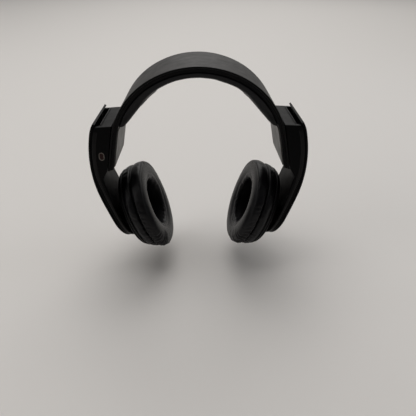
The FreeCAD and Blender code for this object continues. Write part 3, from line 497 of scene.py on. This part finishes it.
def pad_bulk(name, sign, seed, sag):
    """The pad's swept shape, with how firmly each point is held and how slack it is.

    The padding hangs fuller low down and in front, by up to sag mm.
    """
    section = smooth_loop([Vector((r, s, 0.0)) for r, s in PAD_SECTION], PAD_ACROSS)
    points, pinned, loose = [], [], []
    for i in range(PAD_ROUND):
        angle = 2 * math.pi * i / PAD_ROUND
        facing = math.cos(angle - LOW_FRONT)
        low = 0.5 + 0.5 * facing
        patch = 0.5 + PATCH_DEPTH * wave(seed, math.cos(angle) * PATCH_PITCH,
                                         math.sin(angle) * PATCH_PITCH)
        for spot in section:
            radius, depth = spot.x, spot.y
            full = max(0.0, facing) ** 2 * min(1.0, max(0.0, -depth - SAG_DEPTH) / SAG_DEPTH_RUN)
            fuller = sag * full * max(0.0, radius - SAG_RADIUS) / SAG_RADIUS_RUN
            points.append(cup_point(sign, angle, radius + fuller, depth))
            at_back = depth > BACK_DEPTH
            at_seam = math.hypot(radius - SEAM_RADIUS, depth - SEAM_DEPTH) < SEAM_REACH
            inside = radius < INNER_RADIUS and depth > INNER_DEPTH
            pinned.append(1.0 if at_back or at_seam else (INNER_HOLD if inside else 0.0))
            side = 1.0 if radius > OUTER_WALL else FACE_SLACK
            slack = side * (SLACK_LEAST + SLACK_LOW * low * patch)
            loose.append(min(1.0, max(0.0, slack)))
    data = mesh_from(name, points, grid_faces(PAD_ROUND, PAD_ACROSS, True, True))
    return data, pinned, loose


# The creases lie within a stretch round the pad, and are deepest near its lower front.
CREASES, CREASED_FROM, CREASED_RUN = 26, -128.0, 150.0
DEEPEST, DEEPEST_NARROW = math.radians(-66.0), 1.25
GOLDEN_STEP = 0.618034


def fold_lines(seed):
    """Short creases on the outer wall: angle, tilt, middle, half length and depth, in mm."""
    folds = []
    for number in range(CREASES):
        share = (number * GOLDEN_STEP + seed * 0.37) % 1.0
        angle = math.radians(CREASED_FROM + CREASED_RUN * share)
        strength = max(0.0, math.cos(DEEPEST_NARROW * (angle - DEEPEST))) ** 1.5
        pick = 0.5 + 0.5 * math.sin(number * 2.4 + seed)
        tilt = -0.7 + 1.4 * pick
        middle = -3.0 - 3.0 * math.cos(number * 1.7 + seed)
        reach = 3.5 + 3.5 * pick
        deep = (0.7 + 1.4 * pick) * strength
        folds.append((angle, tilt, middle, reach, deep))
    return folds


# The wall's radius turns an angle into a run round the pad. All in mm.
WALL_RADIUS, WALL_BACK = 46.0, -4.5
# Grooves and creases fade in over a stretch of radius, so the face keeps its shape.
CREASE_RADIUS, CREASE_FADE, GROOVE_RADIUS, GROOVE_FADE = 35.0, 4.0, 40.0, 3.0
GROOVE_DEPTH, GROOVE_WIDTH, SEAM_WANDER, WALL_UNEVEN = 1.9, 0.95, 0.35, 0.25
WANDER_PITCH, UNEVEN_PITCH, UNEVEN_PITCH_ACROSS = 0.08, 0.16, 0.2
# A crease is a furrow with a low ridge on each side, and curves a little.
CREASE_REACH, FURROW_WIDTH, CREASE_CURVE = 14.0, 1.05, 0.6
RIDGE_HEIGHT, RIDGE_AT, RIDGE_WIDTH = 0.40, 2.3, 1.3


def bell(place, width):
    """1 at the middle, falling away smoothly over a width."""
    return math.exp(-(place / width) ** 2)


def crease_height(folds, run, aside):
    """How far the creases lift a point, in mm, from its run round the pad and past the seam."""
    height = 0.0
    for place, tilt, middle, reach, deep in folds:
        along_seam = run - place * WALL_RADIUS
        if abs(along_seam) > CREASE_REACH:
            continue
        across = along_seam - tilt * aside + CREASE_CURVE * math.sin(aside * 0.7)
        ridges = RIDGE_HEIGHT * bell(abs(across) - RIDGE_AT, RIDGE_WIDTH)
        height += deep * bell(aside - middle, reach) * (ridges - bell(across, FURROW_WIDTH))
    return height


def crease(target, sign, seed):
    """Presses the sewn seam and the creases that cross it into the pad's outer wall."""
    centre = Vector((CUP_CENTRE.x * sign, CUP_CENTRE.y, CUP_CENTRE.z))
    out = Vector((CUP_OUT.x * sign, CUP_OUT.y, CUP_OUT.z))
    down = Vector((CUP_DOWN.x * sign, CUP_DOWN.y, CUP_DOWN.z))
    folds = fold_lines(seed)
    normals = [vertex.normal.copy() for vertex in target.data.vertices]
    for vertex, normal in zip(target.data.vertices, normals):
        offset = vertex.co - centre
        depth = offset.dot(out) / MM
        flat = offset - out * offset.dot(out)
        radius = flat.length / MM
        if radius < CREASE_RADIUS or depth > WALL_BACK:
            continue
        run = math.atan2(flat.y, flat.dot(down)) * WALL_RADIUS
        aside = depth - (SEAM_DEPTH + SEAM_WANDER * wave(seed, run * WANDER_PITCH, 0.0))
        groove = -GROOVE_DEPTH * bell(aside, GROOVE_WIDTH)
        groove += WALL_UNEVEN * wave(seed, run * UNEVEN_PITCH, depth * UNEVEN_PITCH_ACROSS)
        groove *= min(1.0, max(0.0, radius - GROOVE_RADIUS) / GROOVE_FADE)
        fold = crease_height(folds, run, aside)
        fold *= min(1.0, (radius - CREASE_RADIUS) / CREASE_FADE)
        vertex.co += flat.normalized() * (groove * MM) + normal * (fold * MM)


pads = []
for (side, sign), seed, sag in zip(SIDES, (3.7, 11.2), (0.0, 1.5)):
    data, pinned, loose = pad_bulk(f"ear_pad_cover_{side}", sign, seed, sag)
    pad = piece(f"ear_pad_cover_{side}", data, LEATHER, f"cup_{side}")
    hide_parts(f"ear_pad_{side}")
    inflate(pad, pinned, loose, pressure=3.5, growth=0.05, cap=1.6 * MM)
    pads.append((pad, sign, seed))

# ---- Headband cushion ------------------------------------------------------------------------


def along(heading):
    """The way a line goes at a heading, from straight down, positive away from the middle."""
    return Vector((math.sin(heading), -math.cos(heading)))


def inward(heading):
    """The way that's square to a heading, towards the middle."""
    return Vector((-math.cos(heading), -math.sin(heading)))


def curve_points(start, heading, steps, offset, count):
    """Even points, in mm, on a chain of arcs and lines moved inwards by an offset.

    Headings are in degrees. A step is an arc's radius and last heading, or None and a length.
    """
    heading = math.radians(heading)
    point = Vector(start) + inward(heading) * offset
    line = [point]
    for radius, end in steps:
        if radius is None:
            point = point + along(heading) * end
            line.append(point)
            continue
        end = math.radians(end)
        centre = point + inward(heading) * (radius - offset)
        for step in range(1, ARC_STEPS + 1):
            angle = heading + (end - heading) * step / ARC_STEPS
            line.append(centre - inward(angle) * (radius - offset))
        point = line[-1]
        heading = end
    return evenly(line, count, count - 1)


CUSHION_HALF, CUSHION_STATIONS, CUSHION_AROUND = 30.6, 44, 64
# The cushion's back and underside on one side of the middle, seen from the front, in mm.
LEVEL = 90.0
BAND_TOP, BAND_STEPS, BAND_THICKNESS = 12.0, [(90.0, 60.0), (79.6, 19.0)], 5.25
UNDER_STEPS = [(70.0, 44.0), (300.0, 40.0), (None, 8.5)]
cushion_back = curve_points((0.0, BAND_TOP), LEVEL, BAND_STEPS, BAND_THICKNESS, CUSHION_STATIONS)
cushion_under = curve_points((0.0, 0.0), LEVEL, UNDER_STEPS, 0.0, CUSHION_STATIONS)
# The section: place across the band, as a share of its half depth, and share of the thickness.
CUSHION_SECTION = [(-0.5, 0.0), (0.0, 0.0), (0.5, 0.0), (0.96, 0.0), (0.995, 0.16), (1.0, 0.34),
                   (0.975, 0.47), (0.995, 0.62), (0.975, 0.80), (0.93, 0.93), (0.82, 0.985),
                   (0.5, 1.0), (0.0, 1.0), (-0.5, 1.0), (-0.82, 0.985), (-0.93, 0.93),
                   (-0.975, 0.80), (-0.995, 0.62), (-0.975, 0.47), (-1.0, 0.34),
                   (-0.995, 0.16), (-0.96, 0.0)]
SECTION_HEIGHT = 10.0
# The ends are rounded off over the last stations, towards this share of the thickness.
END_TAPERS, END_NARROWING, END_MIDDLE = (0.86, 0.955, 0.99), 0.35, 0.45
# The cover is held where it meets the band, along the seam in its side walls, and at its ends.
CUSHION_GLUED, CUSHION_SEAM, CUSHION_SEAM_REACH = 0.03, 0.47, 0.05
CUSHION_SEED, CUSHION_PITCH, CUSHION_PITCH_ACROSS = 5.1, 0.35, 0.08


def cushion_bulk(name):
    """The cushion's swept shape, with how firmly each point is held and how slack it is."""
    ring = smooth_loop([Vector((y * CUSHION_HALF, q * SECTION_HEIGHT, 0.0))
                        for y, q in CUSHION_SECTION], CUSHION_AROUND)
    pairs = list(zip(cushion_back, cushion_under))
    stations = [(Vector((-a.x, a.y)), Vector((-b.x, b.y))) for a, b in reversed(pairs[1:])]
    stations += pairs
    points, pinned, loose = [], [], []
    last = len(stations) - 1
    for number, (back, under) in enumerate(stations):
        edge = min(number, last - number)
        taper = END_TAPERS[edge] if edge < len(END_TAPERS) else 1.0
        middle = back.lerp(under, END_MIDDLE)
        for spot in ring:
            across = spot.x * (1.0 - (1.0 - taper) * END_NARROWING)
            share = spot.y / SECTION_HEIGHT
            place = middle + (back.lerp(under, share) - middle) * taper
            points.append(Vector((place.x, across, place.y)) * MM)
            held = share < CUSHION_GLUED or abs(share - CUSHION_SEAM) < CUSHION_SEAM_REACH
            pinned.append(1.0 if held or edge == 0 else 0.0)
            patch = 0.5 + 0.5 * wave(CUSHION_SEED, number * CUSHION_PITCH,
                                     across * CUSHION_PITCH_ACROSS)
            loose.append(min(1.0, max(0.0, patch)))
    faces = grid_faces(len(stations), CUSHION_AROUND, False, True)
    faces.append(tuple(range(CUSHION_AROUND)))
    first = last * CUSHION_AROUND
    faces.append(tuple(range(first + CUSHION_AROUND - 1, first - 1, -1)))
    return mesh_from(name, points, faces), pinned, loose


data, pinned, loose = cushion_bulk("headband_cushion_cover")
cushion = piece("headband_cushion_cover", data, LEATHER, "headband")
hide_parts("headband_cushion")
inflate(cushion, pinned, loose, pressure=2.0, growth=0.02, cap=0.9 * MM)

run_inflations()
for pad, sign, seed in pads:
    subdivide(pad)
    crease(pad, sign, seed)
subdivide(cushion)

# ---- Arms: raised strips, slot lips, microphone mesh and pad piping ----------------------------

# The cover's outer face seen from the front, and the walls' edges seen from the side, in mm.
COVER_TOP, COVER_HEADING, COVER_POINTS = 98.8, 34.0, 90
COVER_STEPS = [(30.0, 14.0), (120.0, -19.0), (500.0, -26.2)]
WALL_TOP, WALL_HALF, WALL_INSET, WALL_POINTS = -39.3, 30.3, 0.3, 160
WALL_LEANS = {"front": 5.9, "back": -3.0}
CORNER, CORNER_TURN, ARM_FOOT = 26.0, 60.0, -175.5


def wall_line(wall):
    """The arm's front or back edge seen from the side: points (distance from middle, height)."""
    lean, turn = math.radians(WALL_LEANS[wall]), math.radians(CORNER_TURN)
    flat = (1.0 - math.sin(turn)) / math.cos(turn)
    bend = math.cos(lean) - math.cos(turn)
    fixed = CORNER * (math.sin(lean) + math.sin(turn)) + (WALL_HALF - CORNER * bend) * flat
    run = (WALL_TOP - ARM_FOOT - fixed) / (math.cos(lean) + math.sin(lean) * flat)
    last = (WALL_HALF + run * math.sin(lean) - CORNER * bend) / math.cos(turn)
    start = (WALL_HALF, WALL_TOP)
    steps = [(None, run), (CORNER, -CORNER_TURN), (last, -90.0)]
    return curve_points(start, WALL_LEANS[wall], steps, WALL_INSET, WALL_POINTS)


def place_on(line, height):
    """Where a line that runs downwards is at a height; above its start it's drawn on."""
    for above, below in zip(line, line[1:]):
        if height >= below.y:
            return above.lerp(below, (above.y - height) / max(above.y - below.y, 1e-6)).x
    return line[-1].x


def cover_place(offset, height):
    """X on the line a given distance inside the cover's outer face, at a height, in mm."""
    line = curve_points((COVER_TOP, WALL_TOP), COVER_HEADING, COVER_STEPS, offset, COVER_POINTS)
    return place_on(line, height)


STRIP_ROWS, STRIP_COLUMNS = 84, 11
STRIP_TOPS, STRIP_FOOT = {"front": -46.0, "back": -136.0}, -171.5
WALL_FACES = {"front": -1.0, "back": 1.0}
# The strip moves inwards and narrows below this height, and its foot is rounded off.
LOWER_FROM, LOWER_RUN, FOOT_RUN, FOOT_WIDTH = -86.0, 26.0, 22.0, 0.45
STRIP_INSET, INSET_MORE, STRIP_WIDTH, WIDTH_LESS = 3.2, 2.0, 4.2, 1.4
STRIP_CROWN, STRIP_SUNK, STRIP_BACKING, END_RISE = 0.75, 0.12, 0.5, 9.0


def raised_strip(side, sign, wall):
    """A crowned strip that follows the cover down an arm's front or back wall; its lighter colour
    is a painted highlight.
    """
    points = []
    edge = wall_line(wall)
    top = STRIP_TOPS[wall]
    for row in range(STRIP_ROWS):
        share = row / (STRIP_ROWS - 1)
        height = top + (STRIP_FOOT - top) * share
        lower = min(1.0, max(0.0, (LOWER_FROM - height) / LOWER_RUN))
        lower = lower * lower * (3 - 2 * lower)
        foot = min(1.0, max(0.0, (height - STRIP_FOOT) / FOOT_RUN)) ** 0.5
        inset = STRIP_INSET + INSET_MORE * lower
        width = (STRIP_WIDTH - WIDTH_LESS * lower) * (FOOT_WIDTH + (1.0 - FOOT_WIDTH) * foot)
        ends = min(1.0, END_RISE * min(share, 1.0 - share)) ** 0.5
        for column in range(STRIP_COLUMNS):
            across = -1.0 + 2.0 * column / (STRIP_COLUMNS - 1)
            crown = STRIP_CROWN * ends * (1.0 - across ** 4) - STRIP_SUNK
            place = cover_place(inset + width * (across + 1.0) / 2, height)
            depth = WALL_FACES[wall] * (place_on(edge, height) + crown)
            points.append(Vector((sign * place, depth, height)) * MM)
    name = f"arm_strip_{wall}_{side}"
    data = mesh_from(name, points, grid_faces(STRIP_ROWS, STRIP_COLUMNS, False, False))
    strip = piece(name, data, STRIP_PAINTED_HIGHLIGHT, f"arm_{side}")
    backing = strip.modifiers.new("backing", "SOLIDIFY")
    backing.thickness = STRIP_BACKING * MM
    backing.offset = -1.0
    final_mesh(strip)


ROD_AROUND, ROD_END = 10, 0.35


def rod(name, path, radius, closed, material, body):
    """A thin rounded rod along a list of points, in mm; an open one tapers at its ends."""
    points = []
    count = len(path)
    for i, spot in enumerate(path):
        before = path[(i - 1) % count] if closed or i > 0 else spot
        after = path[(i + 1) % count] if closed or i < count - 1 else spot
        ahead = (after - before).normalized()
        side = ahead.cross(Vector((0.0, 0.0, 1.0)))
        side = side.normalized() if side.length > 0.05 else Vector((1.0, 0.0, 0.0))
        up = side.cross(ahead)
        share = 1.0 if closed or 0 < i < count - 1 else ROD_END
        for k in range(ROD_AROUND):
            turn = 2 * math.pi * k / ROD_AROUND
            around = side * math.cos(turn) + up * math.sin(turn)
            points.append((spot + around * radius * share) * MM)
    faces = grid_faces(count, ROD_AROUND, closed, True)
    if not closed:
        faces.append(tuple(range(ROD_AROUND)))
        faces.append(tuple(range((count - 1) * ROD_AROUND, count * ROD_AROUND)))
    piece(name, mesh_from(name, points, faces), material, body)


# The lip lies on the arm's top along the inner edge of the open slot; its light grey colour is a
# painted highlight along that edge.
ARM_TOP, SLOT_OFFSET, SLOT_HALF = -42.0, 6.4, 26.0
LIP_RADIUS, LIP_ASIDE, LIP_SUNK, LIP_STEPS = 0.42, 0.35, 0.05, 24
# The piping goes round between the pad and its back plate.
PIPING_AT, PIPING_DEPTH, PIPING_RADIUS, PIPING_STEPS = 44.7, -3.75, 0.75, 120
lip_x = cover_place(SLOT_OFFSET, ARM_TOP) - LIP_ASIDE
for side, sign in SIDES:
    raised_strip(side, sign, "front")
    raised_strip(side, sign, "back")
    lip = [Vector((sign * lip_x, SLOT_HALF * (2 * k / LIP_STEPS - 1), ARM_TOP - LIP_SUNK))
           for k in range(LIP_STEPS + 1)]
    rod(f"pocket_lip_{side}", lip, LIP_RADIUS, False, LIP_PAINTED_HIGHLIGHT, f"arm_{side}")
    ring = [cup_point(sign, 2 * math.pi * k / PIPING_STEPS, PIPING_AT, PIPING_DEPTH) / MM
            for k in range(PIPING_STEPS)]
    rod(f"pad_piping_{side}", ring, PIPING_RADIUS, True, LEATHER, f"cup_{side}")

# The microphone's mouth: its X and Z, half width and half the straight run of its long sides.
MIC_AT, MIC_HALF_WIDTH, MIC_HALF_RUN = (-94.1, -71.0), 2.05, 1.3
MIC_RINGS, MIC_AROUND, MIC_HOLE, MIC_DOME, MIC_SUNK = 7, 48, 0.35, 0.25, 0.45


def mic_mesh():
    """A slightly domed mesh in the microphone's ringed mouth."""
    lean = math.radians(WALL_LEANS["front"])
    depth = WALL_HALF + (WALL_TOP - MIC_AT[1]) * math.tan(lean) - WALL_INSET / math.cos(lean)
    centre = Vector((MIC_AT[0], -depth, MIC_AT[1]))
    out = Vector((0.0, -math.cos(lean), math.sin(lean)))
    up = Vector((0.0, math.sin(lean), math.cos(lean)))
    points = []
    for ring in range(MIC_RINGS):
        share = (ring + MIC_HOLE) / (MIC_RINGS - 1 + MIC_HOLE)
        rise = MIC_DOME * (1.0 - share * share) - MIC_SUNK
        for step in range(MIC_AROUND):
            turn = 2 * math.pi * step / MIC_AROUND
            run = MIC_HALF_RUN if math.sin(turn) >= 0 else -MIC_HALF_RUN
            across = Vector((math.cos(turn) * MIC_HALF_WIDTH * share, 0.0, 0.0))
            height = (math.sin(turn) * MIC_HALF_WIDTH + run) * share
            points.append((centre + across + up * height + out * rise) * MM)
    faces = grid_faces(MIC_RINGS, MIC_AROUND, False, True)
    faces.append(tuple(range(MIC_AROUND)))
    piece("mic_mesh", mesh_from("mic_mesh", points, faces), PORT_MESH, "arm_right")


mic_mesh()

# ---- Scrims ----------------------------------------------------------------------------------

SCRIM_RADIUS, SCRIM_DEPTH, SCRIM_DOME = 24.6, -9.75, 0.35
SCRIM_RINGS, SCRIM_ROUND = 14, 72


def scrim(side, sign):
    """A round of cloth stretched over the grille, with its middle slightly proud."""
    points = [cup_point(sign, 0.0, 0.0, SCRIM_DEPTH)]
    faces = []
    for ring in range(1, SCRIM_RINGS + 1):
        radius = SCRIM_RADIUS * ring / SCRIM_RINGS
        for step in range(SCRIM_ROUND):
            angle = 2 * math.pi * step / SCRIM_ROUND
            depth = SCRIM_DEPTH + SCRIM_DOME * (radius / SCRIM_RADIUS) ** 2
            points.append(cup_point(sign, angle, radius, depth))
    for step in range(SCRIM_ROUND):
        after = (step + 1) % SCRIM_ROUND
        faces.append((0, 1 + step, 1 + after))
        for ring in range(SCRIM_RINGS - 1):
            low, high = 1 + ring * SCRIM_ROUND, 1 + (ring + 1) * SCRIM_ROUND
            faces.append((low + step, high + step, high + after, low + after))
    made = piece(f"ear_scrim_cloth_{side}", mesh_from(f"ear_scrim_cloth_{side}", points, faces),
                 SCRIM, f"cup_{side}")
    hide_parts(f"ear_scrim_{side}")


for side, sign in SIDES:
    scrim(side, sign)

# ---- Floor -----------------------------------------------------------------------------------

FLOOR_HEIGHT, FLOOR_HALF = -0.2115, 9.0
floor_corners = [(x * FLOOR_HALF, y * FLOOR_HALF, FLOOR_HEIGHT)
                 for x, y in ((-1, -1), (1, -1), (1, 1), (-1, 1))]
floor_data = mesh_from("floor", floor_corners, [(0, 1, 2, 3)])
floor = bpy.data.objects.new("floor", floor_data)
bpy.context.scene.collection.objects.link(floor)
floor_look = Surface("floor_pale", (0.70, 0.68, 0.66), 0.7, specular=0.2)
floor_look.bump(floor_look.noise(60.0, 3.0), 0.0003, 0.1)
floor_data.materials.append(floor_look.material)
